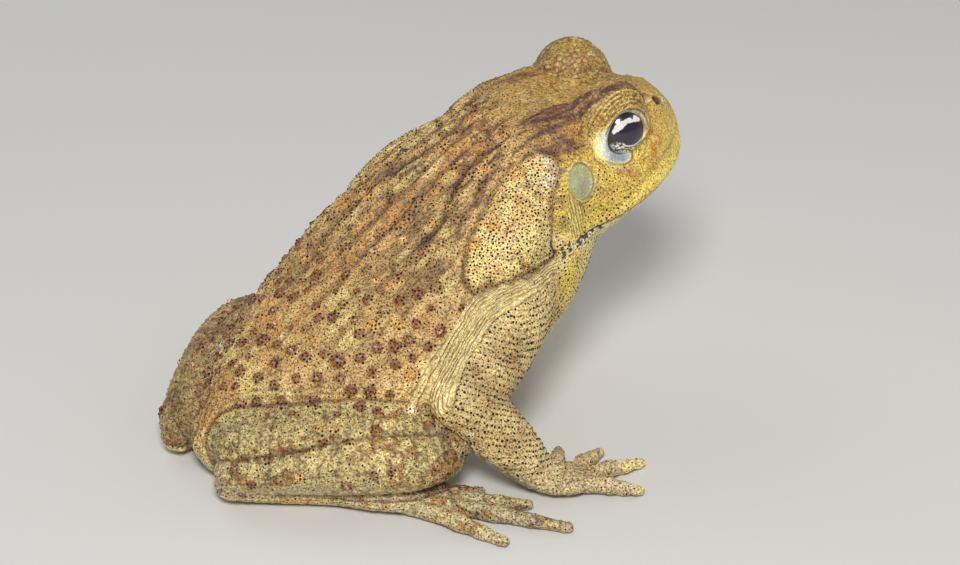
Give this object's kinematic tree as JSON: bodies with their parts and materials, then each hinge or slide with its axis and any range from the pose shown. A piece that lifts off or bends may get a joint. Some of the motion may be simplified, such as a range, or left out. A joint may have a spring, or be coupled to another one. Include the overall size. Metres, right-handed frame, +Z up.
{
  "type": "cane toad, still life-size model",
  "caption": "Life-size cane toad sitting up on its rump and hands, head turned a little to its right, with warty golden-brown skin and large shoulder glands.",
  "frame": {"origin": "on the floor, at the middle of the bounding box's bottom", "axes": "+Z up from the floor, -Y where the body faces, +X the toad's left side"},
  "size_m": [0.1193, 0.1222, 0.0721],
  "materials": {
    "back_skin": "warty golden-brown skin with dark red-brown spots",
    "face_skin": "smooth yellow skin with fine dark dots",
    "gland_skin": "cream and yellow skin with dense dark pores",
    "arm_skin": "tan skin with rows of dark dots",
    "leg_skin": "olive tan skin with dark red spots and cross wrinkles",
    "eardrum": "thin grey-green skin",
    "eye": "wet, near black with silver-gold flecks"
  },
  "bodies": {
    "root": {"trunk": "back_skin", "head": "face_skin", "lower_jaw": "face_skin", "eye_left": "eye", "eye_right": "eye", "tympanum_left": "eardrum", "tympanum_right": "eardrum", "parotoid_gland_left": "gland_skin", "parotoid_gland_right": "gland_skin", "upper_arm_left": "arm_skin", "upper_arm_right": "arm_skin", "forearm_left": "arm_skin", "forearm_right": "arm_skin", "hand_left": "arm_skin", "hand_right": "arm_skin", "thigh_left": "leg_skin", "thigh_right": "leg_skin", "shank_left": "leg_skin", "shank_right": "leg_skin", "foot_left": "leg_skin", "foot_right": "leg_skin"}
  },
  "joints": []
}
